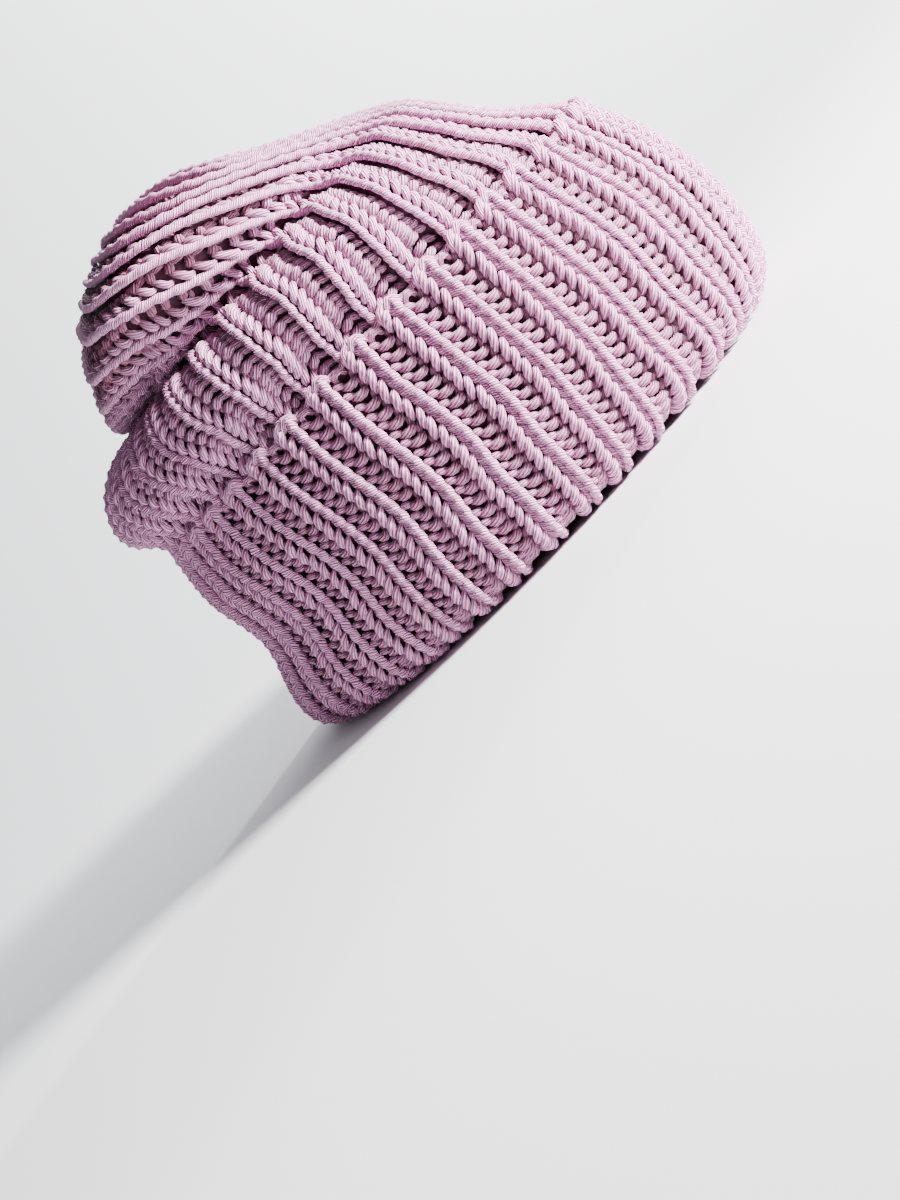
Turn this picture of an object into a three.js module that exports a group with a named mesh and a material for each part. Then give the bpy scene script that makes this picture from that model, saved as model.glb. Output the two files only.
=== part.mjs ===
// Cuffed rib-knitted beanie, standing on its rim as it would on a table.
// Millimetres, +Z up, front of the hat towards -Y, left-right middle at X = 0.
import * as THREE from 'three';

// Fabric
const RIB_COUNT = 40; // knitted ribs around the hat
const RIB_SHIFT = -0.39; // first rib's crest from the front middle, in rib widths
const RIB_DEPTH = 2.4; // crest of a rib above the groove beside it
const CUFF_WALL = 6.4; // thickness of the turned-up layer
const CROWN_WALL = 6.0; // thickness of the layer under it and of the crown
const GAP = 0.55; // clearance between the two layers, about 0.3 where their ribs come nearest

// Rim and free edge
const RIM_FLAT_OUTER = 2.6; // the flat under the rim starts this far in from the outside
const RIM_FLAT_INNER = 10.6; // and ends this far in
const RIM_ROUND = 3.0; // height of the rounding beside that flat
const SEAT_HEIGHT = 7.5; // the inner layer starts on the fold at this height
const EDGE_RADIUS = 1.9; // half thickness of the chain along the free edge
const EDGE_WAVE = 1.3; // the chain rises and falls by this much at each rib
const EDGE_SEAT_GAP = 0.3; // and its lowest points rest this far above the edge
const EDGE_SIDES = 6;

// The middle of the rim lies this far behind the middle of the hat's length
const RIM_MIDDLE_Y = 1.6;

// Each section is a loop around the hat. front and back are its reach ahead of and behind the rim's
// middle, frontZ and backZ the heights there. halfWidth is its reach to each side, where its widest
// point lies sideBack behind the rim's middle at the height sideZ.
const COLUMNS = ['front', 'frontZ', 'halfWidth', 'sideBack', 'sideZ', 'back', 'backZ'];

const CUFF_SECTIONS = namedRows(COLUMNS, [
  [104.5, 0.0, 86.5, 0.0, 0.0, 109.0, 0.0], // foot of the fold
  [110.5, 12.0, 88.5, 0.0, 12.0, 111.3, 12.0], // fullest part of the fold at the back
  [114.5, 38.0, 89.5, 0.0, 38.0, 103.5, 38.0], // over the brow, pulled in at the back
  [111.3, 61.0, 88.0, 0.0, 62.0, 105.8, 59.0], // pulled in towards the top
  [102.8, 83.5, 84.5, 0.0, 86.3, 103.4, 77.5], // free edge
]);

// The crown's sections follow rows of stitches, so they crowd together at the back, where the crease
// hides much of the fabric.
const CROWN_SECTIONS = namedRows(COLUMNS, [
  [94.0, 89.5, 77.5, 2.0, 92.5, 96.5, 84.5], // comes out of the cuff
  [87.5, 96.3, 82.5, 2.0, 99.5, 105.8, 91.5], // lower half of the roll
  [80.0, 103.7, 84.5, 2.0, 108.5, 110.3, 99.5], // fullest part of the roll
  [73.5, 111.7, 81.5, 3.0, 118.0, 105.2, 108.6], // upper half of the roll
  [68.4, 118.4, 76.0, 4.3, 123.0, 98.5, 113.6], // ridge of the roll
  [62.0, 126.7, 69.5, 6.7, 125.1, 89.5, 117.0], // into the crease
  [55.2, 131.7, 65.5, 9.8, 126.3, 82.5, 118.2], // bottom of the crease at the sides
  [47.8, 135.8, 69.0, 14.0, 128.6, 76.2, 118.7], // lower face of the upper lobe
  [36.4, 141.1, 74.0, 22.6, 134.9, 68.3, 119.0], // small hollow before the top
  [25.2, 146.9, 74.7, 32.2, 141.9, 61.5, 119.6], // bottom of the crease at the back
  [14.1, 152.9, 70.5, 41.0, 148.0, 67.6, 120.9], // climbing to the top
  [3.7, 159.3, 62.5, 48.2, 152.5, 75.5, 121.8], // fullest part of the upper lobe at the back
  [-7.2, 165.1, 52.0, 52.9, 155.5, 81.9, 124.8], // front of the top
  [-19.1, 168.2, 40.3, 55.6, 157.6, 79.3, 134.2], // the ribs turn over the end of the hat
  [-31.3, 168.8, 28.3, 57.3, 159.1, 74.5, 143.3], // end of the hat
  [-43.3, 166.8, 16.2, 58.1, 160.2, 68.4, 151.4], // drawn together
  [-51.1, 164.2, 8.0, 58.3, 160.6, 63.6, 156.2], // last loops
]);
const GATHER_POINT = { back: 57.1, z: 158.9 }; // the drawn-in middle of the last loops

// Lilac-pink yarn, a little lighter on the pieces that stand further out
const CUFF_COLOUR = '#cdb0c6';
const EDGE_COLOUR = '#d8bfd2';
const CROWN_COLOUR = '#c4a5bc';
const YARN_ROUGHNESS = 0.92;

const POINTS_PER_RIB = 2; // a crest and a groove
const RING_POINTS = RIB_COUNT * POINTS_PER_RIB;
const ARC_SAMPLES = 720;

function namedRows(columns, rows) {
  return rows.map((row) => Object.fromEntries(columns.map((name, column) => [name, row[column]])));
}

// Section a fraction of the way from one section to the next.
function between(first, second, fraction) {
  const mixed = (name) => THREE.MathUtils.lerp(first[name], second[name], fraction);
  return Object.fromEntries(COLUMNS.map((name) => [name, mixed(name)]));
}

// The same section, narrower on every side by amount and raised by lift.
function inset(section, amount, lift = 0) {
  return {
    front: section.front - amount,
    frontZ: section.frontZ + lift,
    halfWidth: section.halfWidth - amount,
    sideBack: section.sideBack,
    sideZ: section.sideZ + lift,
    back: section.back - amount,
    backZ: section.backZ + lift,
  };
}

// Point of a section at an angle counted from the front middle towards +X.
function sectionPoint(section, angle) {
  const frontShare = (1 + Math.cos(angle)) / 2;
  const sideShare = Math.sin(angle) ** 2;
  const middleBack = (section.back - section.front) / 2;
  const middleZ = (section.frontZ + section.backZ) / 2;
  const back = THREE.MathUtils.lerp(section.back, -section.front, frontShare);
  const z = THREE.MathUtils.lerp(section.backZ, section.frontZ, frontShare);
  return new THREE.Vector3(
    section.halfWidth * Math.sin(angle),
    back + (section.sideBack - middleBack) * sideShare + RIM_MIDDLE_Y,
    z + (section.sideZ - middleZ) * sideShare,
  );
}

// Points at even spacing around a section, a crest and a groove for each rib.
function evenRing(section) {
  const lengths = [0];
  let previous = sectionPoint(section, 0);
  for (let sample = 1; sample <= ARC_SAMPLES; sample += 1) {
    const next = sectionPoint(section, (2 * Math.PI * sample) / ARC_SAMPLES);
    lengths.push(lengths[sample - 1] + next.distanceTo(previous));
    previous = next;
  }
  const total = lengths[ARC_SAMPLES];
  const ring = [];
  for (let point = 0; point < RING_POINTS; point += 1) {
    const turn = (point / POINTS_PER_RIB + RIB_SHIFT) / RIB_COUNT;
    const target = (turn - Math.floor(turn)) * total;
    let sample = 1;
    while (lengths[sample] < target) sample += 1;
    const share = (target - lengths[sample - 1]) / (lengths[sample] - lengths[sample - 1]);
    ring.push(sectionPoint(section, (2 * Math.PI * (sample - 1 + share)) / ARC_SAMPLES));
  }
  return ring;
}

// Outward normals of a stack of rings, from the neighbouring points around and along the fabric.
function outwardNormals(rings) {
  return rings.map((ring, level) => ring.map((_, point) => {
    const around = new THREE.Vector3().subVectors(
      ring[(point + 1) % RING_POINTS],
      ring[(point + RING_POINTS - 1) % RING_POINTS],
    );
    const upper = rings[Math.min(level + 1, rings.length - 1)][point];
    const lower = rings[Math.max(level - 1, 0)][point];
    const along = new THREE.Vector3().subVectors(upper, lower);
    return around.cross(along).normalize();
  }));
}

// Directions averaged with their neighbours along the fabric, so that the wall doesn't cross itself
// inside tight bends.
function eased(normals) {
  return normals.map((ring, level) => ring.map((normal, point) => {
    const upper = normals[Math.min(level + 1, normals.length - 1)][point];
    const lower = normals[Math.max(level - 1, 0)][point];
    return normal.clone().multiplyScalar(2).add(upper).add(lower).normalize();
  }));
}

// Rings with every groove set back by RIB_DEPTH along the normals.
function grooved(rings, normals) {
  return rings.map((ring, level) => ring.map((position, point) => {
    const depth = point % POINTS_PER_RIB === 0 ? 0 : RIB_DEPTH;
    return position.clone().addScaledVector(normals[level][point], -depth);
  }));
}

// Smooth rings at a depth under the crests, one point for each rib.
function innerSkin(rings, normals, depth) {
  return rings.map((ring, level) => ring
    .map((position, point) => position.clone().addScaledVector(normals[level][point], -depth))
    .filter((_, point) => point % POINTS_PER_RIB === 0));
}

// Faces between consecutive rings of a list, which start at the vertex number first.
function bandFaces(first, ringTotal, pointTotal, closed) {
  const faces = [];
  const steps = closed ? ringTotal : ringTotal - 1;
  for (let level = 0; level < steps; level += 1) {
    const lower = first + level * pointTotal;
    const upper = first + ((level + 1) % ringTotal) * pointTotal;
    for (let point = 0; point < pointTotal; point += 1) {
      const next = (point + 1) % pointTotal;
      faces.push(lower + point, lower + next, upper + next);
      faces.push(lower + point, upper + next, upper + point);
    }
  }
  return faces;
}

function geometryFrom(points, faces) {
  const geometry = new THREE.BufferGeometry();
  const coordinates = points.flatMap((point) => point.toArray());
  geometry.setAttribute('position', new THREE.Float32BufferAttribute(coordinates, 3));
  geometry.setIndex(faces);
  geometry.computeVertexNormals();
  return geometry;
}

function knittedMesh(name, geometry, colour) {
  const material = new THREE.MeshStandardMaterial({
    color: colour,
    roughness: YARN_ROUGHNESS,
    metalness: 0,
  });
  const mesh = new THREE.Mesh(geometry, material);
  mesh.name = name;
  return mesh;
}

// Cuff: one closed loop of rings, up the outside, over the free edge, down the inside to the seat of the
// inner layer, and around the fold to the flat under the rim.
function cuff() {
  const foot = CUFF_SECTIONS[0];
  const aboveFoot = (height) => between(foot, CUFF_SECTIONS[1], height / CUFF_SECTIONS[1].frontZ);
  const outside = [aboveFoot(RIM_ROUND), ...CUFF_SECTIONS.slice(1)];
  const inside = CUFF_SECTIONS.slice(1).reverse().map((section) => inset(section, CUFF_WALL));
  const seat = aboveFoot(SEAT_HEIGHT);
  const fold = [
    inset(seat, CUFF_WALL),
    inset(seat, CUFF_WALL + CROWN_WALL),
    inset(aboveFoot(RIM_ROUND), CUFF_WALL + CROWN_WALL),
    inset(foot, RIM_FLAT_INNER),
    inset(foot, RIM_FLAT_OUTER),
  ];
  const rings = [...outside, ...inside, ...fold].map(evenRing);
  const ribbed = grooved(rings, rings.map(ringNormals));
  return geometryFrom(ribbed.flat(), bandFaces(0, ribbed.length, RING_POINTS, true));
}

// Outward normals of one ring within its own level.
function ringNormals(ring) {
  return ring.map((_, point) => {
    const next = ring[(point + 1) % RING_POINTS];
    const previous = ring[(point + RING_POINTS - 1) % RING_POINTS];
    return new THREE.Vector3(next.y - previous.y, previous.x - next.x, 0).normalize();
  });
}

// Crown: the inner layer from its seat on the fold, the roll, the crease and the upper lobe, closed at the
// gather. An outer and an inner skin joined along the lower edge.
function crown() {
  const tuck = CUFF_WALL + GAP;
  const seat = between(CUFF_SECTIONS[0], CUFF_SECTIONS[1], (SEAT_HEIGHT + GAP) / CUFF_SECTIONS[1].frontZ);
  const covered = [seat, ...CUFF_SECTIONS.slice(1)].map((section) => inset(section, tuck));
  const rings = [...covered, ...CROWN_SECTIONS].map(evenRing);
  let normals = eased(eased(outwardNormals(rings)));
  normals = normals.map((ring, level) => (level < covered.length ? ringNormals(rings[level]) : ring));
  const outer = grooved(rings, normals);
  const inner = innerSkin(rings, normals, CROWN_WALL);
  const top = new THREE.Vector3(0, GATHER_POINT.back + RIM_MIDDLE_Y, GATHER_POINT.z);
  const lean = normals.at(-1).reduce((sum, normal) => sum.add(normal), new THREE.Vector3()).normalize();
  const innerTop = top.clone().addScaledVector(lean, -CROWN_WALL);
  const innerFirst = outer.length * RING_POINTS;
  const topVertex = innerFirst + inner.length * RIB_COUNT;
  const faces = bandFaces(0, outer.length, RING_POINTS, false);
  faces.push(...bandFaces(innerFirst, inner.length, RIB_COUNT, false).reverse());
  const lastOuter = (outer.length - 1) * RING_POINTS;
  for (let point = 0; point < RING_POINTS; point += 1) {
    faces.push(lastOuter + point, lastOuter + ((point + 1) % RING_POINTS), topVertex);
  }
  const lastInner = innerFirst + (inner.length - 1) * RIB_COUNT;
  for (let rib = 0; rib < RIB_COUNT; rib += 1) {
    const nextRib = (rib + 1) % RIB_COUNT;
    faces.push(lastInner + nextRib, lastInner + rib, topVertex + 1);
    const crest = POINTS_PER_RIB * rib;
    const nextCrest = POINTS_PER_RIB * nextRib;
    faces.push(crest, innerFirst + rib, innerFirst + nextRib);
    faces.push(crest, innerFirst + nextRib, crest + 1);
    faces.push(crest + 1, innerFirst + nextRib, nextCrest);
  }
  return geometryFrom([...outer.flat(), ...inner.flat(), top, innerTop], faces);
}

// Chain along the free edge: a ring of small cross-sections that rise at each rib's crest.
function castOnEdge() {
  const edge = CUFF_SECTIONS.at(-1);
  const halfHeight = EDGE_RADIUS * Math.sin(Math.PI / 3);
  const middle = evenRing(inset(edge, CUFF_WALL / 2, halfHeight + EDGE_SEAT_GAP + EDGE_WAVE));
  const normals = ringNormals(middle);
  const rings = [];
  for (let side = 0; side < EDGE_SIDES; side += 1) {
    const angle = (2 * Math.PI * side) / EDGE_SIDES;
    rings.push(middle.map((position, point) => {
      const groove = point % POINTS_PER_RIB !== 0;
      const wave = groove ? -EDGE_WAVE : EDGE_WAVE;
      const out = EDGE_RADIUS * Math.cos(angle) - (groove ? RIB_DEPTH : 0);
      const rise = EDGE_RADIUS * Math.sin(angle) + wave;
      return position.clone().addScaledVector(normals[point], out).add(new THREE.Vector3(0, 0, rise));
    }));
  }
  return geometryFrom(rings.flat(), bandFaces(0, EDGE_SIDES, RING_POINTS, true));
}

const group = new THREE.Group();
group.add(knittedMesh('crown', crown(), CROWN_COLOUR));
group.add(knittedMesh('cuff', cuff(), CUFF_COLOUR));
group.add(knittedMesh('cast_on_edge', castOnEdge(), EDGE_COLOUR));

export default group;
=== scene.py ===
# The knitted beanie, standing on its folded rim, with each rib's stitches laid over the form.
import math

import bmesh
import bpy
import numpy as np
from mathutils import Matrix, Vector


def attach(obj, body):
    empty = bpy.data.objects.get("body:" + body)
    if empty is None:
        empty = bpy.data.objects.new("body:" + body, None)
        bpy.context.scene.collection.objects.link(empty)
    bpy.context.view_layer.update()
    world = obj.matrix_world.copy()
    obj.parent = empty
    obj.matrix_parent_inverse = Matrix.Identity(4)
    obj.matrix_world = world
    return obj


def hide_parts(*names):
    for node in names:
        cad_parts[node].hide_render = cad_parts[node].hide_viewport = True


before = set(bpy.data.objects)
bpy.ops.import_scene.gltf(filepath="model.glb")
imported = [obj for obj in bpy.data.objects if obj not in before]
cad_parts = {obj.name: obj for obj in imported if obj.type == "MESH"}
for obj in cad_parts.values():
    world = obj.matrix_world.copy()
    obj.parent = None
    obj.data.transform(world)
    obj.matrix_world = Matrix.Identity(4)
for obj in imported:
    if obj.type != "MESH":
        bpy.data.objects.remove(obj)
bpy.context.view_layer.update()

# Camera
# It looks at the side of the hat from a little above the rim, rolled over as the picture shows the hat.
# The hat's middle lies off the picture's middle, so the camera is turned away from it by that much.
FRAME_WIDTH = 900
FRAME_HEIGHT = 1200
FOCAL_PIXELS = 2212
HAT_PIXEL = (446.6, 396.3)
HAT_CENTRE = Vector((0.0, 0.0016, 0.05))
CAMERA_DISTANCE = 0.75
CAMERA_ELEVATION = math.radians(5.1)
CAMERA_ROLL = math.radians(46.3)


def link(obj):
    """Puts an object in the scene."""
    bpy.context.scene.collection.objects.link(obj)
    return obj


camera_data = bpy.data.cameras.new("Camera")
camera_data.sensor_width = 36.0
camera_data.lens = camera_data.sensor_width * FOCAL_PIXELS / FRAME_HEIGHT
camera_data.clip_start = 0.05
camera_data.clip_end = 20.0
camera = link(bpy.data.objects.new("Camera", camera_data))
bpy.context.scene.camera = camera

sideways = Vector((-math.cos(CAMERA_ELEVATION), 0.0, math.sin(CAMERA_ELEVATION)))
camera_right = Vector((0.0, -1.0, 0.0))
camera_up = camera_right.cross(-sideways)
picture_right = camera_right * math.cos(CAMERA_ROLL) - camera_up * math.sin(CAMERA_ROLL)
picture_up = camera_right * math.sin(CAMERA_ROLL) + camera_up * math.cos(CAMERA_ROLL)
turn_right = (HAT_PIXEL[0] - FRAME_WIDTH / 2) / FOCAL_PIXELS
turn_up = -(HAT_PIXEL[1] - FRAME_HEIGHT / 2) / FOCAL_PIXELS
aim = (-sideways - picture_right * turn_right - picture_up * turn_up).normalized()
axis_x = (picture_right - aim * aim.dot(picture_right)).normalized()
axis_y = axis_x.cross(aim)
camera_turn = Matrix((axis_x, axis_y, -aim)).transposed().to_4x4()
camera.matrix_world = Matrix.Translation(HAT_CENTRE + sideways * CAMERA_DISTANCE) @ camera_turn

# Studio
# A seamless pale paper sweep under the hat and up behind it, a soft window light low in front and to the
# side, a weak wide one above, and one that lights the paper behind the hat.
PAPER_COLOUR = (0.86, 0.87, 0.89, 1.0)
PAPER_WIDTH = 9.0
PAPER_FRONT = -3.0
PAPER_TURN = 0.5
PAPER_RADIUS = 0.9
PAPER_LENGTH = 8.0
PAPER_STEPS = 160

paper_mesh = bpy.data.meshes.new("paper_sweep")
shape = bmesh.new()
bmesh.ops.create_grid(shape, x_segments=PAPER_STEPS, y_segments=1, size=0.5)
for vert in shape.verts:
    travel = (vert.co.x + 0.5) * PAPER_LENGTH + PAPER_FRONT - PAPER_TURN
    bend = min(max(travel / PAPER_RADIUS, 0.0), math.pi / 2)
    beyond = max(travel - PAPER_RADIUS * math.pi / 2, 0.0)
    vert.co = (
        PAPER_TURN + min(travel, 0.0) + PAPER_RADIUS * math.sin(bend),
        vert.co.y * PAPER_WIDTH,
        PAPER_RADIUS * (1 - math.cos(bend)) + beyond,
    )
shape.to_mesh(paper_mesh)
shape.free()
paper_mesh.shade_smooth()
paper = link(bpy.data.objects.new("paper_sweep", paper_mesh))
paper_material = bpy.data.materials.new("Pale paper")
paper_material.use_nodes = True
paper_shader = paper_material.node_tree.nodes["Principled BSDF"]
paper_shader.inputs["Base Color"].default_value = PAPER_COLOUR
paper_shader.inputs["Roughness"].default_value = 0.9
paper_mesh.materials.append(paper_material)

world = bpy.data.worlds.new("Studio")
world.use_nodes = True
world.node_tree.nodes["Background"].inputs["Color"].default_value = (0.84, 0.88, 0.95, 1.0)
world.node_tree.nodes["Background"].inputs["Strength"].default_value = 0.16
bpy.context.scene.world = world


def soft_light(name, place, target, size, power, colour):
    """A square area light that faces the target."""
    data = bpy.data.lights.new(name, "AREA")
    data.size = size
    data.energy = power
    data.color = colour
    light = link(bpy.data.objects.new(name, data))
    light.location = place
    light.rotation_mode = "QUATERNION"
    light.rotation_quaternion = (Vector(target) - Vector(place)).to_track_quat("-Z", "Y")


soft_light("window", (-0.33, -0.68, 0.36), HAT_CENTRE, 0.18, 54.0, (1.0, 0.985, 0.975))
soft_light("overhead", (-0.3, -0.6, 1.3), HAT_CENTRE, 0.7, 1.5, (0.97, 0.98, 1.0))
soft_light("backdrop", (1.1, -1.0, 0.8), (1.6, -0.1, 0.7), 0.35, 90.0, (0.97, 0.98, 1.0))

# Cuff
# The turned-up layer of thick rib knitting. Each rib is a raised column of knit stitches, one half of it
# locked into a cord, with a sunk column of purl bumps beside it. The ribs run up the outside from the fold
# that the hat stands on, where the cuff goes over into the crown's inner layer.
RIB_COUNT = 40
RIB_SHIFT = -0.39
RIB_PITCH = 15.5
RIB_HALF = 4.3
KNIT_SHARE = 0.4
ROW_HEIGHT = 4.3
RIM_MIDDLE_Y = 1.6
MM = 0.001

# front, front_z, half_width, side_back, side_z, back, back_z in millimetres, as reaches of a loop around
# the hat from the rim's middle, and the heights there
CUFF_SECTIONS = (
    (104.5, 0.0, 86.5, 0.0, 0.0, 109.0, 0.0),
    (110.5, 12.0, 88.5, 0.0, 12.0, 111.3, 12.0),
    (114.5, 38.0, 89.5, 0.0, 38.0, 103.5, 38.0),
    (111.3, 61.0, 88.0, 0.0, 62.0, 105.8, 59.0),
    (102.8, 83.5, 84.5, 0.0, 86.3, 103.4, 77.5),
)
# row, and how far forward the ribs stray there, in ribs, at the ribs between the two ends of STRAY_RIBS
CUFF_STRAYS = (
    (-8.0, 0.2, -0.2, -0.1, -0.1, 0.1, 0.1),
    (4.0, 0.2, -0.2, -0.1, -0.15, 0.1, 0.1),
    (8.0, -0.05, -0.35, -0.25, -0.25, -0.15, 0.1),
    (14.0, -0.15, -0.35, -0.2, -0.15, -0.05, 0.3),
    (20.0, -0.5, -0.45, -0.15, 0.0, -0.05, 0.3),
    (24.0, -0.5, -0.45, -0.1, 0.05, 0.0, 0.3),
)
STRAY_RIBS = (20.0, 25.0, 28.5, 31.0, 33.0, 35.0, 37.5, 40.0)
STRAY_STEPS = 4
FOLD_DEPTH = 12.4
FOLD_HEIGHT = 7.0
FOLD_LIFT = 0.8
LIP_HEIGHT = 30.0
GRID_STEP = 0.2
TURN_SAMPLES = 640


def smooth(knots, values, places):
    """Curves through the rows of values, which stand at the knots, read at the places."""
    knots = np.asarray(knots, float)
    values = np.asarray(values, float)
    slopes = np.gradient(values, knots, axis=0)
    low = np.clip(np.searchsorted(knots, places, side="right") - 1, 0, len(knots) - 2)
    width = (knots[low + 1] - knots[low])[:, None]
    share = (places - knots[low])[:, None] / width
    rise = share * share * (3 - 2 * share)
    leave = share * (1 - share) ** 2 * width
    arrive = share * share * (share - 1) * width
    return values[low] * (1 - rise) + values[low + 1] * rise + slopes[low] * leave + slopes[low + 1] * arrive


def narrowed(sections, amount):
    """The same sections, narrower on every side by amount."""
    return sections - np.multiply.outer(amount, (1, 0, 1, 0, 0, 1, 0))


def loops(sections):
    """Points around each section, at even spacing from the front middle towards +X."""
    angles = np.linspace(0, 2 * math.pi, TURN_SAMPLES + 1)
    front_share = (1 + np.cos(angles)) / 2
    side_share = np.sin(angles) ** 2
    front, front_z, half_width, side_back, side_z, back, back_z = sections.T[:, :, None]
    x = half_width * np.sin(angles)
    y = back - (front + back) * front_share + (side_back - (back - front) / 2) * side_share + RIM_MIDDLE_Y
    z = back_z + (front_z - back_z) * front_share + (side_z - (front_z + back_z) / 2) * side_share
    points = np.stack((x, y, z), axis=2)
    lengths = np.linalg.norm(np.diff(points, axis=1), axis=2).cumsum(axis=1)
    turns = np.arange(TURN_SAMPLES) / TURN_SAMPLES
    even = np.empty((len(points), TURN_SAMPLES, 3))
    for level, length in enumerate(lengths):
        reached = np.concatenate(((0.0,), length / length[-1]))
        for axis in range(3):
            even[level, :, axis] = np.interp(turns, reached, points[level, :, axis])
    return even, lengths[:, -1]


def rib_places(levels, strays):
    """Where each rib runs at each level, in evenly spaced ribs. Both sides of the hat are alike."""
    table = np.asarray(strays)
    columns = smooth(table[:, 0], table[:, 1:], levels)
    columns = np.pad(columns, ((0, 0), (1, 1)))
    ribs = np.arange(RIB_COUNT * STRAY_STEPS + 1) / STRAY_STEPS
    near = smooth(STRAY_RIBS, columns.T, ribs[ribs >= RIB_COUNT / 2]).T
    return ribs + RIB_SHIFT + np.concatenate((-near[:, :0:-1], near), axis=1)


def form(sections, first_row, strays):
    """A knitted layer's outer face, with its sections GRID_STEP rows apart from first_row upwards."""
    points, rounds = loops(sections)
    around = np.roll(points, -1, axis=1) - np.roll(points, 1, axis=1)
    along = np.gradient(points, axis=0)
    normals = np.cross(around, along)
    normals /= np.linalg.norm(normals, axis=2, keepdims=True)
    levels = first_row + np.arange(len(sections)) * GRID_STEP
    return {
        "first": first_row,
        "points": points,
        "normals": normals,
        "pitch": rounds / RIB_COUNT,
        "places": rib_places(levels, strays),
    }


def spots(layer, ribs, rows):
    """Where points of the knitting lie on a layer's grid, as levels and turns around the hat."""
    level = np.clip((rows - layer["first"]) / GRID_STEP, 0, len(layer["pitch"]) - 1.001)
    lower = level.astype(int)
    up = level - lower
    step = ribs % RIB_COUNT * STRAY_STEPS
    left = step.astype(int)
    share = step - left
    places = layer["places"]
    low = places[lower, left] * (1 - share) + places[lower, left + 1] * share
    high = places[lower + 1, left] * (1 - share) + places[lower + 1, left + 1] * share
    turn = (low * (1 - up) + high * up) / RIB_COUNT
    if "end_shift" in layer:
        # The knitting's own end lies end_shift rows off the form's, and the rows around it go along less
        # and less over end_range rows.
        last = len(layer["pitch"]) - 1.001
        reach = last - level
        pull = np.clip(1 - reach / (layer["end_range"] / GRID_STEP), 0, 1)
        pull = pull * pull * (3 - 2 * pull) * layer["end_shift"] / GRID_STEP
        forward = reach * np.cos(2 * math.pi * turn)
        beside = reach * np.sin(2 * math.pi * turn) + pull
        level = last - np.minimum(np.hypot(forward, beside), last)
        turn = np.arctan2(beside, forward) / (2 * math.pi)
    return level, turn % 1.0 * TURN_SAMPLES


def read(layer, grid, level, turn):
    """A layer's points or normals, read between the places where they are kept."""
    lower = level.astype(int)
    up = (level - lower)[:, None]
    left = turn.astype(int) % TURN_SAMPLES
    right = (left + 1) % TURN_SAMPLES
    over = (turn - np.floor(turn))[:, None]
    low = layer[grid][lower, left] * (1 - over) + layer[grid][lower, right] * over
    high = layer[grid][lower + 1, left] * (1 - over) + layer[grid][lower + 1, right] * over
    return low * (1 - up) + high * up


SLIM_POWER = 0.9
SLIMMEST = 0.3
SUNK_ROOM = 2.4
SUNK_START = 0.3


def laid(layer, chart):
    """Points of a flat chart laid on a layer, and how slim its strands are there.

    The chart has X around the hat, Y up the ribs and Z outwards. Where the ribs run closer together, the
    sunk columns close up first and then the strands slim.
    """
    rows = chart[:, 1] / ROW_HEIGHT
    rib = np.floor((chart[:, 0] + RIB_HALF) / RIB_PITCH)
    across = chart[:, 0] - rib * RIB_PITCH
    before = read(layer, "points", *spots(layer, rib - 0.5, rows))
    after = read(layer, "points", *spots(layer, rib + 0.5, rows))
    pitch = np.maximum(np.linalg.norm(after - before, axis=1), 0.5)
    half = np.minimum(RIB_HALF, pitch * KNIT_SHARE)
    sunk = half + (across - RIB_HALF) * (pitch - 2 * half) / (RIB_PITCH - 2 * RIB_HALF)
    across = np.where(across <= RIB_HALF, across * half / RIB_HALF, sunk)
    slim = np.clip((half / RIB_HALF) ** SLIM_POWER, SLIMMEST, 1.0)
    room = (pitch - 2 * half) / (RIB_PITCH - 2 * RIB_HALF)
    sunk_slim = slim * np.clip(room * SUNK_ROOM, SLIMMEST, 1.0)
    slim = np.where(across > half + SUNK_START, sunk_slim, slim)
    level, turn = spots(layer, rib + across / pitch, rows)
    normals = read(layer, "normals", level, turn)
    normals /= np.linalg.norm(normals, axis=1, keepdims=True)
    return (read(layer, "points", level, turn) + normals * (chart[:, 2] * slim)[:, None]) * MM, slim


# rows past the last one, rise and inset in millimetres, where the cuff goes over its free edge
EDGE_TURN = (
    (0.6, 2.4, 0.5),
    (1.2, 4.4, 2.2),
    (2.0, 5.6, 5.0),
)


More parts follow.
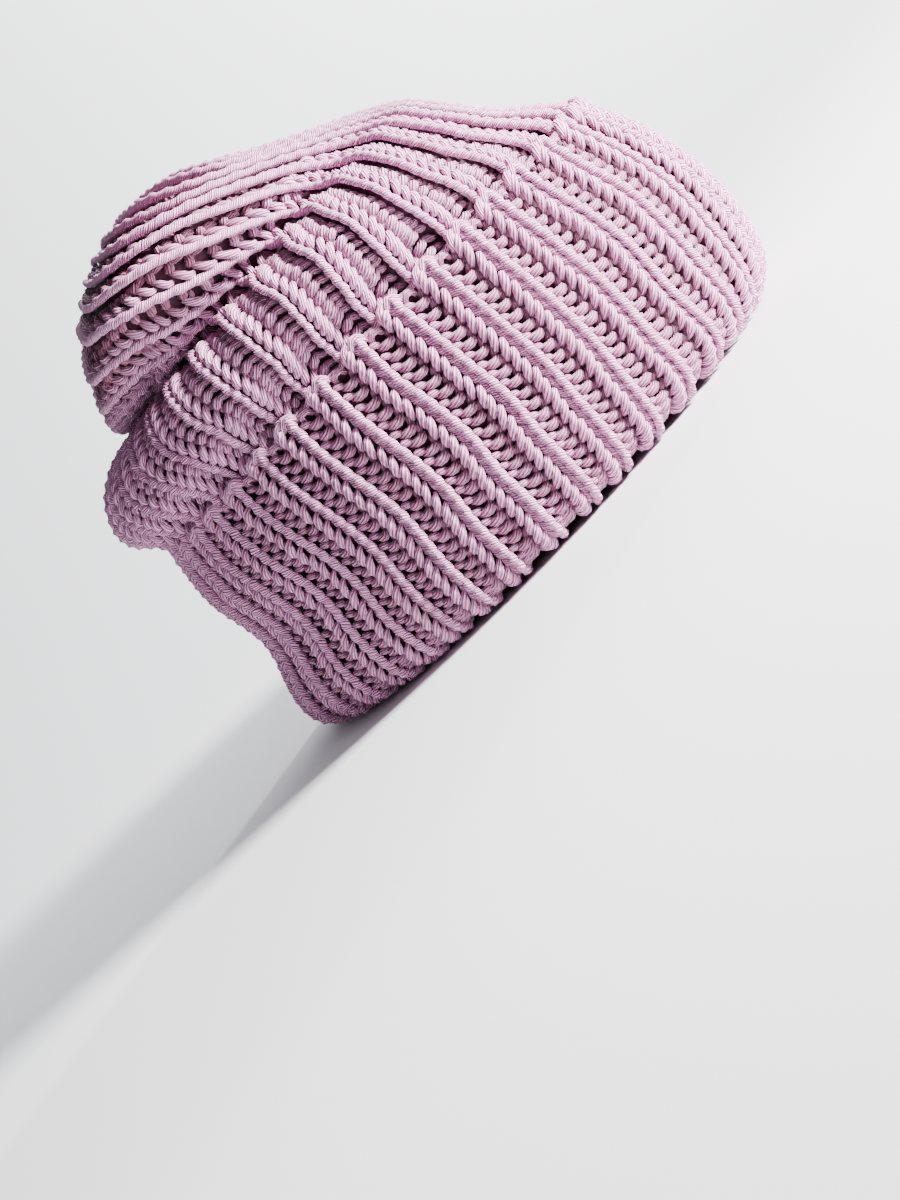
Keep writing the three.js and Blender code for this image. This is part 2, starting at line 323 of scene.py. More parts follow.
def cuff_form(last_row):
    """Down the inside of the fold, under it, up the outside, and over the free edge at last_row."""
    knots_z = np.array([row[4] for row in CUFF_SECTIONS])
    quarter = np.linspace(0, math.pi / 2, 9)
    inner = [(FOLD_DEPTH / 2 * (1 + math.cos(a)), FOLD_HEIGHT * (1 - math.sin(a))) for a in quarter]
    outer = [(FOLD_DEPTH / 2 * (1 - math.sin(a)), FOLD_HEIGHT * (1 - math.cos(a))) for a in quarter[1:]]
    wall = [(0.0, z) for z in np.linspace(FOLD_HEIGHT, knots_z[-1], 16)[1:]]
    lip = [(FOLD_DEPTH, z) for z in np.linspace(LIP_HEIGHT, FOLD_HEIGHT, 6)[:-1]]
    insets, heights = np.array(lip + inner + outer + wall).T
    sections = narrowed(smooth(knots_z, CUFF_SECTIONS, heights), insets)
    sections[:, (1, 4, 6)] += FOLD_LIFT * (1 - np.minimum(heights / FOLD_HEIGHT, 1.0))[:, None]
    middle = sections[:, (0, 1, 2, 4, 5, 6)]
    steps = np.abs(np.diff(middle, axis=0))
    travel = (np.hypot(steps[:, 0], steps[:, 1]) + np.hypot(steps[:, 2], steps[:, 3])
              + np.hypot(steps[:, 4], steps[:, 5])) / 3
    rows = np.concatenate(((0.0,), travel.cumsum()))
    bottom = rows[len(lip) + len(inner) - 1]
    rows = (rows - bottom) / (rows[-1] - bottom) * last_row
    edge_rows, edge_rise, edge_inset = np.array(EDGE_TURN).T
    over_edge = np.repeat(sections[-1:], len(EDGE_TURN), axis=0)
    over_edge[:, (1, 4, 6)] += edge_rise[:, None]
    sections = np.concatenate((sections, narrowed(over_edge, edge_inset)))
    rows = np.concatenate((rows, last_row + edge_rows))
    first = math.ceil(rows[0])
    return form(smooth(rows, sections, np.arange(first, last_row + 2, GRID_STEP)), first, CUFF_STRAYS)


CUFF_ROWS = 21
cuff_layer = cuff_form(CUFF_ROWS)


def strand(shape, thickness, points):
    """The middle line of one strand, through points of (across, up, out, half thickness)."""
    verts = []
    for across, up, out, half in points:
        vert = shape.verts.new((across, up, out))
        vert[thickness] = half
        verts.append(vert)
    for first, second in zip(verts, verts[1:]):
        shape.edges.new((first, second))


def yarn_group(sides):
    """Geometry nodes that turn middle lines into closed round strands of their own thickness."""
    group = bpy.data.node_groups.new(f"Round strands of {sides} sides", "GeometryNodeTree")
    group.interface.new_socket("Geometry", in_out="INPUT", socket_type="NodeSocketGeometry")
    group.interface.new_socket("Geometry", in_out="OUTPUT", socket_type="NodeSocketGeometry")
    nodes = group.nodes
    links = group.links
    entry = nodes.new("NodeGroupInput")
    leave = nodes.new("NodeGroupOutput")
    to_curve = nodes.new("GeometryNodeMeshToCurve")
    thickness = nodes.new("GeometryNodeInputNamedAttribute")
    thickness.data_type = "FLOAT"
    thickness.inputs["Name"].default_value = "half_thickness"
    distance = nodes.new("GeometryNodeSplineParameter")
    keep_distance = nodes.new("GeometryNodeStoreNamedAttribute")
    keep_distance.data_type = "FLOAT"
    keep_distance.domain = "POINT"
    keep_distance.inputs["Name"].default_value = "along"
    ring = nodes.new("GeometryNodeCurvePrimitiveCircle")
    ring.mode = "RADIUS"
    ring.inputs["Resolution"].default_value = sides
    ring.inputs["Radius"].default_value = 1.0
    order = nodes.new("GeometryNodeInputIndex")
    keep_order = nodes.new("GeometryNodeStoreNamedAttribute")
    keep_order.data_type = "FLOAT"
    keep_order.domain = "POINT"
    keep_order.inputs["Name"].default_value = "around"
    tube = nodes.new("GeometryNodeCurveToMesh")
    tube.inputs["Fill Caps"].default_value = True
    links.new(entry.outputs["Geometry"], to_curve.inputs["Mesh"])
    links.new(to_curve.outputs["Curve"], keep_distance.inputs["Geometry"])
    links.new(thickness.outputs["Attribute"], tube.inputs["Scale"])
    links.new(distance.outputs["Length"], keep_distance.inputs["Value"])
    links.new(keep_distance.outputs["Geometry"], tube.inputs["Curve"])
    links.new(ring.outputs["Curve"], keep_order.inputs["Geometry"])
    links.new(order.outputs["Index"], keep_order.inputs["Value"])
    links.new(keep_order.outputs["Geometry"], tube.inputs["Profile Curve"])
    links.new(tube.outputs["Mesh"], leave.inputs["Geometry"])
    return group


def arrayed(shape, name, rows):
    """The cell's strands repeated around the hat and up the rows, flat."""
    mesh = bpy.data.meshes.new(name)
    shape.to_mesh(mesh)
    shape.free()
    cell = link(bpy.data.objects.new(name + "_cell", mesh))
    for count, step in ((RIB_COUNT, (RIB_PITCH, 0.0, 0.0)), (rows, (0.0, ROW_HEIGHT, 0.0))):
        repeat = cell.modifiers.new("Repeat", "ARRAY")
        repeat.count = count
        repeat.use_relative_offset = False
        repeat.use_constant_offset = True
        repeat.constant_offset_displace = step
    evaluated = cell.evaluated_get(bpy.context.evaluated_depsgraph_get())
    sheet = bpy.data.meshes.new_from_object(evaluated)
    cell_size = len(mesh.vertices)
    bpy.data.objects.remove(cell)
    bpy.data.meshes.remove(mesh)
    return sheet, cell_size


def read_places(mesh):
    """The places of a mesh's vertices."""
    flat = np.empty(len(mesh.vertices) * 3, np.float32)
    mesh.vertices.foreach_get("co", flat)
    return flat.reshape(-1, 3).astype(float)


def write_value(mesh, name, values):
    """Keeps one number for each vertex of a mesh."""
    attribute = mesh.attributes.get(name) or mesh.attributes.new(name, "FLOAT", "POINT")
    attribute.data.foreach_set("value", values.astype(np.float32))


SWAY_ROWS = 3
SWAY_SEED = 11
SWAY_LEVELS = 80
SWAY_LEAD = 12
SWAY_ACROSS = 0.26
SWAY_OUT = 0.14
sway_table = np.random.default_rng(SWAY_SEED).normal(0.0, 1.0, (RIB_COUNT, SWAY_LEVELS, 2))


def swayed(chart):
    """Ribs that stray a little sideways and outwards, differently from row to row."""
    rib = np.floor((chart[:, 0] + RIB_HALF) / RIB_PITCH).astype(int) % RIB_COUNT
    place = chart[:, 1] / ROW_HEIGHT / SWAY_ROWS + SWAY_LEAD
    low = np.clip(np.floor(place).astype(int), 0, SWAY_LEVELS - 2)
    share = (place - low)[:, None]
    share = share * share * (3 - 2 * share)
    stray = sway_table[rib, low] * (1 - share) + sway_table[rib, low + 1] * share
    chart = chart.copy()
    chart[:, 0] += np.clip(stray[:, 0], -2, 2) * SWAY_ACROSS
    chart[:, 2] += np.clip(stray[:, 1], -2, 2) * SWAY_OUT
    return chart


def ply_map(mesh, sides, lay, lines):
    """The piece's own map. U counts the yarn's ply lines, V is the distance along the strand in cm."""
    loops_total = len(mesh.loops)
    corner_vert = np.empty(loops_total, np.int32)
    mesh.loops.foreach_get("vertex_index", corner_vert)
    along = np.empty(len(mesh.vertices), np.float32)
    mesh.attributes["along"].data.foreach_get("value", along)
    around = np.empty(len(mesh.vertices), np.float32)
    mesh.attributes["around"].data.foreach_get("value", around)
    start = np.empty(len(mesh.polygons), np.int32)
    mesh.polygons.foreach_get("loop_start", start)
    corner_around = around[corner_vert]
    top = np.maximum.reduceat(corner_around, start)
    low = np.minimum.reduceat(corner_around, start)
    face = np.repeat(np.arange(len(start)), np.diff(np.append(start, loops_total)))
    crossing = (top - low > sides / 2)[face] & (corner_around < sides / 2)
    corner_around = corner_around + crossing * sides
    uv = np.stack((corner_around / sides * lines + along[corner_vert] / (lay * MM) * lines,
                   along[corner_vert] * 100), axis=1)
    layer = mesh.uv_layers.new(name="ply")
    layer.data.foreach_set("uv", uv.astype(np.float32).ravel())
    for name in ("along", "around", "half_thickness"):
        mesh.attributes.remove(mesh.attributes[name])


# How far single stitches stray sideways and outwards, in millimetres
LOOSE = (0.14, 0.12)
NOT_LOOSE = (0.0, 0.0)
MOST_LOOSE = 0.4
# Painted shade darkens strands by how deep they lie in the knitting, counted in DEEPEST millimetres.
DEEPEST = 6
strand_groups = {}


def knitted(name, layer, strands, rows, first_row, sides, lay, lines, seed, loose=LOOSE, shade=0.0):
    """One piece of many strands, from the strands of one repeat.

    The plies show as lines that go once around the strand in lay millimetres. Shade adds painted shade to
    the yarn's colour, on top of the painted shade that darkens strands the deeper they lie in the knitting.
    in the knitting, where the yarn's colour is darker.
    """
    shape = bmesh.new()
    thickness = shape.verts.layers.float.new("half_thickness")
    for points in strands:
        strand(shape, thickness, points)
    sheet, cell_size = arrayed(shape, name, rows)
    chart = read_places(sheet)
    chart[:, 1] += first_row * ROW_HEIGHT
    # Painted shade: how deep each strand lies, plus shade, sets how much of the Shaded colour it gets.
    write_value(sheet, "painted_shade_depth", np.clip(shade - chart[:, 2] / DEEPEST, 0, 1))
    copies = len(chart) // cell_size
    chance = np.random.default_rng(seed)
    drift = chance.normal(0.0, 1.0, (copies, 3)) * (loose[0], loose[0], loose[1])
    chart += np.repeat(np.clip(drift, -MOST_LOOSE, MOST_LOOSE), cell_size, axis=0)
    points, slim = laid(layer, swayed(chart))
    half = np.empty(len(chart), np.float32)
    sheet.attributes["half_thickness"].data.foreach_get("value", half)
    plump = np.repeat(chance.normal(1.0, 0.04, copies), cell_size)
    write_value(sheet, "half_thickness", half * plump * slim * MM)
    write_value(sheet, "tone", np.repeat(chance.uniform(0.0, 1.0, copies), cell_size))
    sheet.vertices.foreach_set("co", points.astype(np.float32).ravel())
    middle_lines = link(bpy.data.objects.new(name + "_lines", sheet))
    rounder = middle_lines.modifiers.new("Round strands", "NODES")
    if sides not in strand_groups:
        strand_groups[sides] = yarn_group(sides)
    rounder.node_group = strand_groups[sides]
    evaluated = middle_lines.evaluated_get(bpy.context.evaluated_depsgraph_get())
    mesh = bpy.data.meshes.new_from_object(evaluated)
    bpy.data.objects.remove(middle_lines)
    bpy.data.meshes.remove(sheet)
    mesh.name = name
    ply_map(mesh, sides, lay, lines)
    mesh.shade_smooth()
    return link(bpy.data.objects.new(name, mesh))


CORD_STEPS = 3
CORD_WAVE = 0.22
CORD_BULGE = 0.2


def cord(across, sunk, half, rows, sway):
    """One side of a knitted column, locked into a cord that bulges at each row."""
    points = []
    for step in range(int(rows * CORD_STEPS) + 1):
        wave = math.cos(2 * math.pi * step / CORD_STEPS)
        lean = math.sin(2 * math.pi * step / CORD_STEPS)
        up = step / CORD_STEPS * ROW_HEIGHT
        out = CORD_WAVE * wave - half - sunk
        points.append((across + sway * lean, up, out, half + CORD_BULGE * wave))
    return points


# across, up, out, half thickness, for each strand of one stitch
CUFF_LEG = (
    (-4.4, -3.0, -4.4, 0.7),
    (-4.1, -2.3, -3.0, 1.0),
    (-3.5, -1.1, -2.0, 1.35),
    (-2.6, 0.4, -1.4, 1.45),
    (-1.8, 1.6, -1.3, 1.35),
    (-1.1, 2.5, -2.0, 1.0),
    (-0.7, 3.1, -3.4, 0.7),
)
CUFF_PURLS = (
    (
        (3.5, 2.7, -4.0, 0.9),
        (4.4, 2.5, -3.1, 1.15),
        (5.3, 2.0, -3.3, 1.2),
        (6.0, 1.5, -4.3, 1.05),
        (6.4, 1.1, -5.6, 0.8),
    ),
    (
        (5.3, 0.9, -6.0, 0.9),
        (5.7, 0.6, -4.9, 1.4),
        (6.8, 0.05, -3.8, 1.6),
        (8.1, -0.2, -3.7, 1.65),
        (9.3, 0.15, -4.2, 1.5),
        (9.9, 0.8, -5.6, 1.0),
    ),
    (
        (9.2, 1.3, -6.0, 0.8),
        (9.9, 2.0, -5.0, 1.15),
        (10.7, 2.9, -4.6, 1.2),
        (11.5, 3.6, -5.2, 0.95),
    ),
)


# The colour runs from Deep in the grooves between plies to Light on their crests, painted shade; the
# strand's tone, patches and fibres shift it too.
TONE_WEIGHT = 0.2
RIDGE_WEIGHT = 1.25
PATCH_WEIGHT = 0.3
FIBRE_WEIGHT = 0.5
DARK_OFFSET = 0.58
PLY_WANDER = 1.4
PLY_ROUNDNESS = 1.2
FIBRE_SCALE = 3.0


def ply_group():
    """The look of plied yarn.

    Round plies have painted shade in the grooves between them and fibres along them, and the tone differs
    from strand to strand. Strands deep in the knitting or given shade get painted shade, darker and redder.
    """
    group = bpy.data.node_groups.new("Plied yarn", "ShaderNodeTree")
    face = group.interface
    for name in ("Light", "Deep", "Shaded"):
        face.new_socket(name, in_out="INPUT", socket_type="NodeSocketColor")
    face.new_socket("Color", in_out="OUTPUT", socket_type="NodeSocketColor")
    face.new_socket("Height", in_out="OUTPUT", socket_type="NodeSocketFloat")
    face.new_socket("Roughness", in_out="OUTPUT", socket_type="NodeSocketFloat")
    nodes = group.nodes
    links = group.links
    entry = nodes.new("NodeGroupInput")
    leave = nodes.new("NodeGroupOutput")

    def math_node(operation, first, second=None, third=None):
        node = nodes.new("ShaderNodeMath")
        node.operation = operation
        for socket, value in zip(node.inputs, (first, second, third)):
            if isinstance(value, (int, float)):
                socket.default_value = value
            elif value is not None:
                links.new(value, socket)
        return node.outputs[0]

    uv = nodes.new("ShaderNodeUVMap")
    uv.uv_map = "ply"
    split = nodes.new("ShaderNodeSeparateXYZ")
    links.new(uv.outputs["UV"], split.inputs["Vector"])
    wander = nodes.new("ShaderNodeTexNoise")
    wander.inputs["Scale"].default_value = 0.5
    wander.inputs["Detail"].default_value = 2.0
    links.new(uv.outputs["UV"], wander.inputs["Vector"])
    ply = math_node("MULTIPLY_ADD", wander.outputs["Fac"], PLY_WANDER, split.outputs["X"])
    ridge = math_node("ABSOLUTE", math_node("SINE", math_node("MULTIPLY", ply, math.pi)))
    ridge = math_node("POWER", ridge, PLY_ROUNDNESS)
    fibre_place = nodes.new("ShaderNodeCombineXYZ")
    links.new(math_node("MULTIPLY", split.outputs["X"], FIBRE_SCALE), fibre_place.inputs["X"])
    links.new(math_node("MULTIPLY", split.outputs["Y"], FIBRE_SCALE), fibre_place.inputs["Y"])
    fibre = nodes.new("ShaderNodeTexNoise")
    fibre.inputs["Scale"].default_value = 1.0
    fibre.inputs["Detail"].default_value = 2.0
    links.new(fibre_place.outputs["Vector"], fibre.inputs["Vector"])
    height = math_node("MULTIPLY_ADD", fibre.outputs["Fac"], FIBRE_WEIGHT, ridge)
    links.new(height, leave.inputs["Height"])
    tone = nodes.new("ShaderNodeAttribute")
    tone.attribute_name = "tone"
    painted_shade_depth = nodes.new("ShaderNodeAttribute")
    painted_shade_depth.attribute_name = "painted_shade_depth"
    place = nodes.new("ShaderNodeTexCoord")
    patch = nodes.new("ShaderNodeTexNoise")
    patch.inputs["Scale"].default_value = 28.0
    patch.inputs["Detail"].default_value = 2.0
    links.new(place.outputs["Object"], patch.inputs["Vector"])
    # Painted shade in the grooves between plies, with the strand's tone, patches and fibres.
    bright = math_node("MULTIPLY", ridge, RIDGE_WEIGHT)
    bright = math_node("MULTIPLY_ADD", tone.outputs["Fac"], TONE_WEIGHT, bright)
    bright = math_node("MULTIPLY_ADD", patch.outputs["Fac"], PATCH_WEIGHT, bright)
    bright = math_node("MULTIPLY_ADD", fibre.outputs["Fac"], FIBRE_WEIGHT, bright)
    bright = math_node("SUBTRACT", bright, DARK_OFFSET)
    mix = nodes.new("ShaderNodeMix")
    mix.data_type = "RGBA"
    links.new(bright, mix.inputs["Factor"])
    links.new(entry.outputs["Deep"], mix.inputs["A"])
    links.new(entry.outputs["Light"], mix.inputs["B"])
    # Painted shade: strands deep in the knitting turn towards the Shaded colour.
    painted_shade_ramp = nodes.new("ShaderNodeMapRange")
    painted_shade_ramp.interpolation_type = "SMOOTHSTEP"
    painted_shade_ramp.inputs["From Min"].default_value = 0.28
    painted_shade_ramp.inputs["From Max"].default_value = 0.95
    painted_shade_ramp.inputs["To Max"].default_value = 0.85
    links.new(painted_shade_depth.outputs["Fac"], painted_shade_ramp.inputs["Value"])
    darken = nodes.new("ShaderNodeMix")
    darken.data_type = "RGBA"
    links.new(painted_shade_ramp.outputs["Result"], darken.inputs["Factor"])
    links.new(mix.outputs["Result"], darken.inputs["A"])
    links.new(entry.outputs["Shaded"], darken.inputs["B"])
    links.new(darken.outputs["Result"], leave.inputs["Color"])
    rough = nodes.new("ShaderNodeMapRange")
    rough.inputs["To Min"].default_value = 0.75
    rough.inputs["To Max"].default_value = 0.5
    links.new(fibre.outputs["Fac"], rough.inputs["Value"])
    links.new(rough.outputs["Result"], leave.inputs["Roughness"])
    return group


plied = ply_group()


def yarn_material(name, light, deep, shaded, bump):
    """Plied yarn in the three colours, with plies raised by bump metres."""
    material = bpy.data.materials.new(name)
    material.use_nodes = True
    nodes = material.node_tree.nodes
    links = material.node_tree.links
    shader = nodes["Principled BSDF"]
    shader.inputs["Specular IOR Level"].default_value = 0.25
    shader.inputs["Sheen Weight"].default_value = 0.15
    shader.inputs["Sheen Roughness"].default_value = 0.4
    shader.inputs["Sheen Tint"].default_value = (1.0, 0.82, 0.92, 1.0)
    ply = nodes.new("ShaderNodeGroup")
    ply.node_tree = plied
    ply.inputs["Light"].default_value = light
    ply.inputs["Deep"].default_value = deep
    ply.inputs["Shaded"].default_value = shaded
    relief = nodes.new("ShaderNodeBump")
    relief.inputs["Strength"].default_value = 1.0
    relief.inputs["Distance"].default_value = bump
    links.new(ply.outputs["Height"], relief.inputs["Height"])
    links.new(ply.outputs["Color"], shader.inputs["Base Color"])
    links.new(ply.outputs["Roughness"], shader.inputs["Roughness"])
    links.new(relief.outputs["Normal"], shader.inputs["Normal"])
    return material


# Light is the yarn on its ply crests and Deep the yarn in the grooves between plies and in its darker tones,
# partly painted shade; Shaded is painted shade for strands deep in the knitting.
LIGHT_YARN = (0.95, 0.45, 0.78, 1.0)
DEEP_YARN = (0.33, 0.10, 0.19, 1.0)
SHADED_YARN = (0.20, 0.05, 0.09, 1.0)
PLY_HEIGHT = 0.0006
yarn = yarn_material("Lilac plied yarn", LIGHT_YARN, DEEP_YARN, SHADED_YARN, PLY_HEIGHT)

# Painted shade: the ground behind the strands is near-black plum, the shade seen through the gaps in the
# knitting.
GROUND_COLOUR = (0.05, 0.009, 0.024, 1.0)
GROUND_DEPTH = 5.6
GROUND_WAVE = 1.0
GROUND_THICKNESS = 0.0008
GROUND_COLUMNS = 4
MERGE_DISTANCE = 0.00002
painted_shade_ground = bpy.data.materials.new("Yarn deep inside in painted shade")
painted_shade_ground.use_nodes = True
ground_shader = painted_shade_ground.node_tree.nodes["Principled BSDF"]
ground_shader.inputs["Base Color"].default_value = GROUND_COLOUR
ground_shader.inputs["Roughness"].default_value = 0.9


def ground(name, layer, first_row, last_row):
    """The thin ground behind the strands, waved with the ribs, dark with painted shade for the gaps between
    them.
    """
    shape = bmesh.new()
    width = RIB_COUNT * RIB_PITCH
    height = (last_row - first_row) * ROW_HEIGHT
    columns = RIB_COUNT * GROUND_COLUMNS
    bmesh.ops.create_grid(shape, x_segments=columns, y_segments=last_row - first_row, size=0.5)
    bmesh.ops.scale(shape, verts=shape.verts, vec=(width, height, 1.0))
    mesh = bpy.data.meshes.new(name)
    shape.to_mesh(mesh)
    shape.free()
    chart = read_places(mesh)
    chart[:, 0] += width / 2
    chart[:, 1] += height / 2 + first_row * ROW_HEIGHT
    chart[:, 2] = GROUND_WAVE * np.cos(2 * math.pi * chart[:, 0] / RIB_PITCH) - GROUND_DEPTH
    points, _ = laid(layer, chart)
    mesh.vertices.foreach_set("co", points.astype(np.float32).ravel())
    shape = bmesh.new()
    shape.from_mesh(mesh)
    bmesh.ops.remove_doubles(shape, verts=shape.verts, dist=MERGE_DISTANCE)
    bmesh.ops.recalc_face_normals(shape, faces=shape.faces)
    shape.to_mesh(mesh)
    shape.free()
    mesh.shade_smooth()
    piece = link(bpy.data.objects.new(name, mesh))
    wall = piece.modifiers.new("Wall", "SOLIDIFY")
    wall.thickness = GROUND_THICKNESS
    wall.offset = -1.0
    return piece


def belongs(piece, material, node):
    """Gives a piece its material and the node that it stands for."""
    piece.data.materials.clear()
    piece.data.materials.append(material)
    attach(piece, "root")
    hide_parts(node)


CUFF_FIRST = -2
CUFF_LAST = CUFF_ROWS + 1
cuff_cord_lines = (
    cord(2.75, 0.0, 1.45, CUFF_LAST - CUFF_FIRST, 0.22),
    cord(0.9, 2.0, 1.35, CUFF_LAST - CUFF_FIRST, -0.2),
)
cuff_cords = knitted(
    "cuff_cords", cuff_layer, cuff_cord_lines, 1, CUFF_FIRST,
    sides=7, lay=4.2, lines=5, seed=21, loose=NOT_LOOSE,
)
cuff_legs = knitted(
    "cuff_legs", cuff_layer, (CUFF_LEG,), CUFF_LAST - CUFF_FIRST, CUFF_FIRST,
    sides=7, lay=-19.0, lines=8, seed=22,
)
cuff_purls = knitted(
    "cuff_purls", cuff_layer, CUFF_PURLS, CUFF_ROWS - CUFF_FIRST, CUFF_FIRST,
    sides=6, lay=20.0, lines=9, seed=23,
)
cuff_ground = ground("cuff_ground", cuff_layer, CUFF_FIRST, CUFF_LAST)
for piece in (cuff_cords, cuff_legs, cuff_purls):
    belongs(piece, yarn, "cuff")
belongs(cuff_ground, painted_shade_ground, "cuff")

# Crown
# The same fabric, going on up from under the cuff. It bulges in a roll, folds back on itself in a crease
# and flops over to the back, where its last stitches are drawn together.
CROWN_ROWS = (-2, 0, 2.5, 5, 7.5, 9.5, 12, 14, 16, 19, 22, 25, 28, 31, 34, 37, 40, 42, 43.5)
# front, front_z, half_width, side_back, side_z, back, back_z at each row, as in CUFF_SECTIONS
CROWN_SECTIONS = (
    (98.4, 83.5, 80.1, 0.0, 86.3, 101.5, 77.5),
    (96.5, 89.5, 80.5, 2.0, 92.5, 103.0, 84.5),
    (89.0, 96.3, 84.0, 2.0, 99.5, 109.3, 91.5),
    (80.0, 103.7, 84.5, 2.0, 108.5, 110.3, 99.5),
    (73.5, 111.7, 81.5, 3.0, 118.0, 105.2, 108.6),
    (68.4, 118.4, 76.0, 4.3, 123.0, 98.5, 113.6),
    (62.0, 126.7, 69.5, 6.7, 125.1, 89.5, 117.0),
    (55.2, 131.7, 63.5, 9.8, 126.3, 82.5, 118.2),
    (47.8, 135.8, 66.0, 14.0, 128.6, 76.2, 118.7),
    (36.4, 141.1, 74.5, 22.6, 134.9, 68.3, 119.0),
    (25.2, 146.9, 80.5, 32.2, 141.9, 63.5, 118.6),
    (14.1, 152.9, 81.5, 41.0, 148.0, 72.6, 118.0),
    (3.7, 159.3, 75.5, 48.2, 152.5, 81.5, 118.8),
    (-7.2, 165.1, 64.5, 52.9, 155.5, 84.4, 122.3),
    (-19.1, 168.2, 48.5, 55.6, 157.6, 80.3, 132.7),
    (-31.3, 168.8, 34.0, 57.3, 159.1, 74.5, 143.3),
    (-43.3, 166.8, 19.0, 58.1, 160.2, 68.4, 151.4),
    (-51.1, 164.2, 8.0, 58.3, 160.6, 63.6, 156.2),
    (-57.6, 160.6, 0.5, 58.2, 160.2, 58.8, 159.8),
)
# row, and how far forward the ribs stray there, in ribs, as in CUFF_STRAYS
CROWN_STRAYS = (
    (-2.0, 0.05, -0.4, -0.3, 0.1, 0.35, 0.3),
    (0.0, 0.05, -0.33, -0.2, 0.24, 0.43, 0.35),
    (3.5, 0.1, 0.12, 0.3, 0.55, 0.55, 0.4),
    (6.0, -0.3, 0.13, 0.55, 0.67, 0.55, 0.4),
    (9.0, -0.6, -0.1, 0.5, 0.67, 0.6, 0.45),
    (13.0, -1.1, -0.5, 0.5, 0.8, 0.9, 0.6),
    (15.0, -1.5, -1.0, 0.2, 0.7, 0.85, 0.6),
    (16.5, -1.6, -1.9, -0.4, 0.55, 0.7, 0.5),
    (18.0, -1.6, -2.4, -1.1, 0.2, 0.5, 0.4),
    (19.5, -1.6, -2.6, -1.5, -0.4, 0.1, 0.1),
    (21.5, -1.6, -2.6, -1.65, -0.95, -0.8, -0.4),
    (24.0, -1.5, -2.6, -1.65, -1.7, -1.9, -1.1),
    (27.0, -1.5, -2.5, -1.7, -2.1, -2.4, -1.6),
    (32.0, -1.4, -2.4, -1.7, -2.1, -2.3, -1.6),
    (38.0, -1.2, -2.2, -1.6, -2.0, -2.1, -1.4),
    (43.6, -1.0, -1.8, -1.4, -1.8, -1.8, -1.2),
)
crown_levels = np.arange(CROWN_ROWS[0], CROWN_ROWS[-1] + GRID_STEP / 2, GRID_STEP)
crown_layer = form(smooth(CROWN_ROWS, CROWN_SECTIONS, crown_levels), CROWN_ROWS[0], CROWN_STRAYS)
# The drawn-together end lies over to the far side.
crown_layer["end_shift"] = 13.0
crown_layer["end_range"] = 30.0
# across, up, out, half thickness, for each strand of one stitch
CROWN_LEG = (
    (0.4, -3.2, -3.2, 0.8),
    (0.7, -2.4, -1.9, 1.15),
    (1.4, -1.3, -1.25, 1.35),
    (2.3, -0.1, -1.4, 1.4),
    (3.2, 1.1, -2.0, 1.3),
    (3.9, 2.2, -2.9, 1.1),
    (4.3, 3.0, -4.0, 0.8),
)
CROWN_BARS = (
    (
        (4.9, -0.9, -5.4, 1.0),
        (5.4, -0.7, -4.0, 1.4),
        (6.5, -0.25, -3.1, 1.65),
        (7.8, 0.35, -3.1, 1.65),
        (8.8, 0.75, -4.0, 1.35),
        (9.1, 0.8, -5.6, 1.0),
    ),
    (
        (8.8, 1.1, -5.8, 0.9),
        (9.6, 0.8, -4.3, 1.2),
        (10.5, 0.1, -3.8, 1.3),
        (11.3, -0.6, -4.3, 1.1),
        (11.9, -1.1, -6.0, 0.8),
    ),
)
CROWN_LINK = (
    (3.9, 1.0, -4.8, 0.8),
    (4.7, 1.5, -4.0, 1.0),
    (5.5, 1.9, -4.2, 1.0),
    (6.1, 2.3, -5.2, 0.8),
)
CROWN_FIRST = -2
ROLL_TOP = 18
BARS_TOP = 37
LEGS_TOP = 39
CORDS_TOP = 42.5
GROUND_TOP = 43
# Extra painted shade for the lobe's legs and bars.
LOBE_SHADE = 0.2


def lowered(strands, amount):
    """The same strands, deeper in the knitting."""
    return tuple(
        tuple((across, up, out - amount, half) for across, up, out, half in points)
        for points in strands
    )


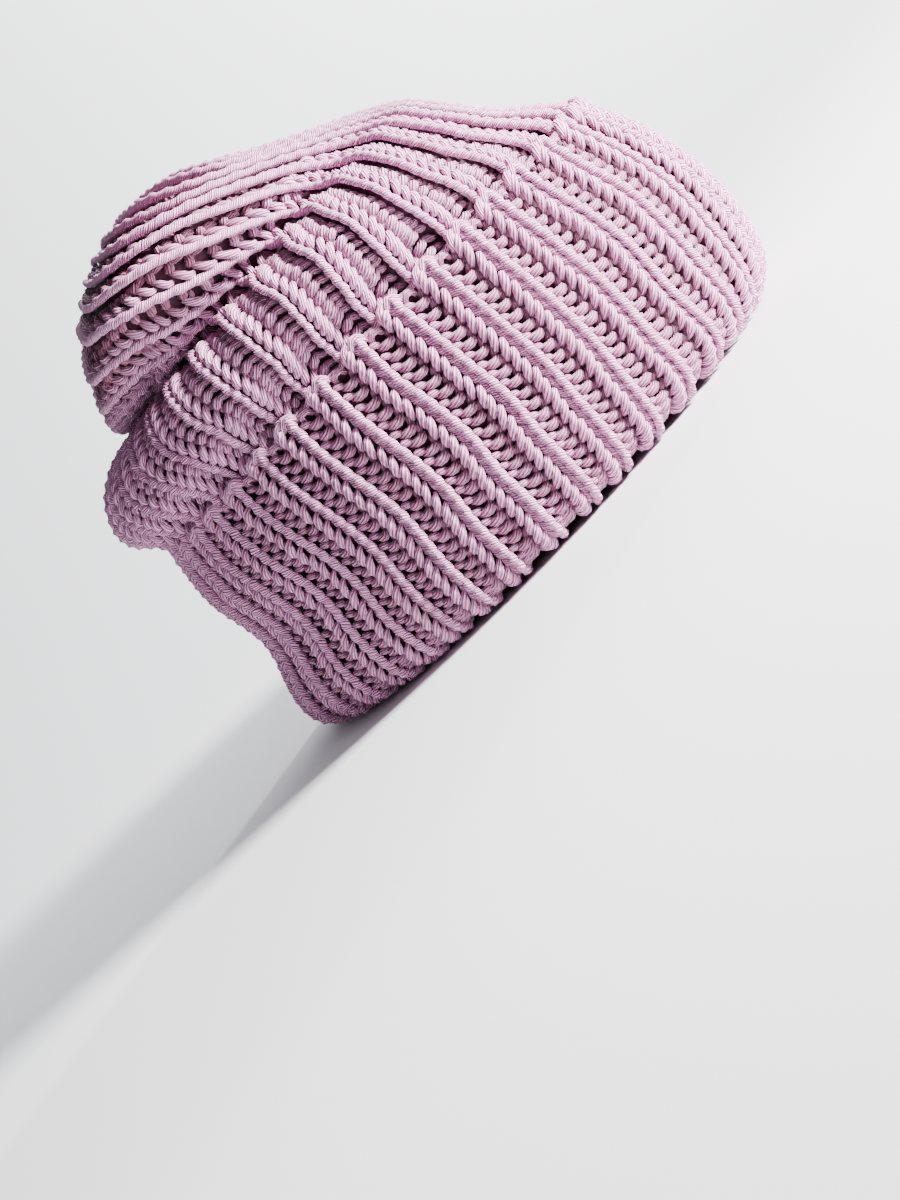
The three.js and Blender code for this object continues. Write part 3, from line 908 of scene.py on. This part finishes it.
crown_cord_line = cord(-1.9, -0.2, 1.35, CORDS_TOP - CROWN_FIRST, 0.14)
crown_cords = knitted(
    "crown_cords", crown_layer, (crown_cord_line,), 1, CROWN_FIRST,
    sides=8, lay=4.6, lines=6, seed=31, loose=NOT_LOOSE,
)
roll_legs = knitted(
    "roll_legs", crown_layer, (CROWN_LEG,), ROLL_TOP - CROWN_FIRST, CROWN_FIRST,
    sides=7, lay=26.0, lines=9, seed=32,
)
lobe_legs = knitted(
    "lobe_legs", crown_layer, lowered((CROWN_LEG,), 0.8), LEGS_TOP - ROLL_TOP, ROLL_TOP,
    sides=7, lay=26.0, lines=9, seed=33, shade=LOBE_SHADE,
)
roll_bars = knitted(
    "roll_bars", crown_layer, CROWN_BARS + (CROWN_LINK,), ROLL_TOP - CROWN_FIRST, CROWN_FIRST,
    sides=6, lay=20.0, lines=9, seed=34,
)
lobe_bars = knitted(
    "lobe_bars", crown_layer, lowered(CROWN_BARS, 1.0), BARS_TOP - ROLL_TOP, ROLL_TOP,
    sides=6, lay=20.0, lines=9, seed=35, shade=LOBE_SHADE,
)
crown_ground = ground("crown_ground", crown_layer, CROWN_FIRST, GROUND_TOP)
for piece in (crown_cords, roll_legs, lobe_legs, roll_bars, lobe_bars):
    belongs(piece, yarn, "crown")
belongs(crown_ground, painted_shade_ground, "crown")

# Cast-on edge
# The loops along the cuff's free edge, in the cuff's own yarn and knitted in one with it. They puff up at
# each rib's top, with a slender strand between.
# across, up, out, half thickness, for each strand of one rib's loops
EDGE_LOOPS = (
    (
        (-4.3, -0.6, -3.2, 1.0),
        (-3.9, 1.6, -1.7, 1.3),
        (-2.9, 3.4, -1.2, 1.5),
        (-1.2, 4.6, -1.4, 1.5),
        (0.3, 4.2, -2.2, 1.3),
        (0.9, 3.0, -3.4, 0.9),
    ),
    (
        (-1.2, 1.6, -2.8, 0.9),
        (-0.2, 3.4, -1.2, 1.25),
        (1.4, 4.8, -1.0, 1.5),
        (3.2, 4.3, -1.5, 1.5),
        (4.2, 2.8, -2.2, 1.3),
        (4.4, 1.0, -3.4, 0.9),
    ),
    (
        (3.4, 3.4, -3.8, 0.8),
        (5.0, 3.0, -3.4, 1.0),
        (6.6, 2.2, -3.8, 1.05),
        (8.4, 2.0, -4.2, 1.05),
        (10.0, 2.6, -3.6, 1.0),
        (11.8, 3.6, -3.2, 0.9),
    ),
    (
        (5.2, -1.4, -5.0, 0.9),
        (5.6, 0.2, -3.8, 1.2),
        (7.0, 1.1, -3.2, 1.3),
        (8.6, 0.5, -3.6, 1.2),
        (9.2, -1.0, -5.0, 0.9),
    ),
)
cast_on = knitted(
    "cast_on_edge_loops", cuff_layer, EDGE_LOOPS, 1, CUFF_ROWS,
    sides=8, lay=24.0, lines=9, seed=41,
)
belongs(cast_on, yarn, "cast_on_edge")
